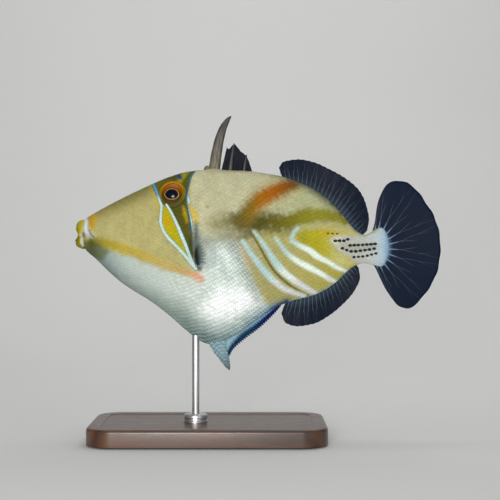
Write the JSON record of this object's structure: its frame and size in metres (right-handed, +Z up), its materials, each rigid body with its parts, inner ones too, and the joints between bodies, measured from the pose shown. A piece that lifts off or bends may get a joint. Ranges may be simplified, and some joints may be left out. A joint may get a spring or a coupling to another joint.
{
  "type": "picasso triggerfish display model",
  "caption": "Still, life-size picasso triggerfish with raised dorsal spine and spread fins, held up by one rod on a flat plain stand.",
  "frame": {"origin": "under the middle of the fish's length, on the surface that the stand rests on, in the fish's mid-plane", "axes": "the fish heads towards -X and its tail points to +X, +Y is its right side, and +Z is up"},
  "size_m": [0.2, 0.072, 0.177],
  "materials": {
    "skin": "moist scaly skin, satin",
    "eye": "wet, glossy",
    "fin": "thin clear membrane on rays, satin",
    "spine": "rough, matt",
    "stand_wood": "dark stained and waxed",
    "stand_metal": "brushed"
  },
  "bodies": {
    "root": {"lip_upper": "skin", "lip_lower": "skin", "snout": "skin", "head": "skin", "trunk_front": "skin", "trunk_rear": "skin", "tail_stalk": "skin", "eye_left": "eye", "eye_right": "eye", "dorsal_spine": "spine", "dorsal_web": "fin", "dorsal_fin": "fin", "anal_fin": "fin", "tail_fin": "fin", "pectoral_fin_left": "fin", "pectoral_fin_right": "fin", "pelvic_spine": "skin", "ventral_flap": "fin", "stand_base": "stand_wood", "stand_rod": "stand_metal", "stand_collar": "stand_metal"}
  },
  "joints": []
}
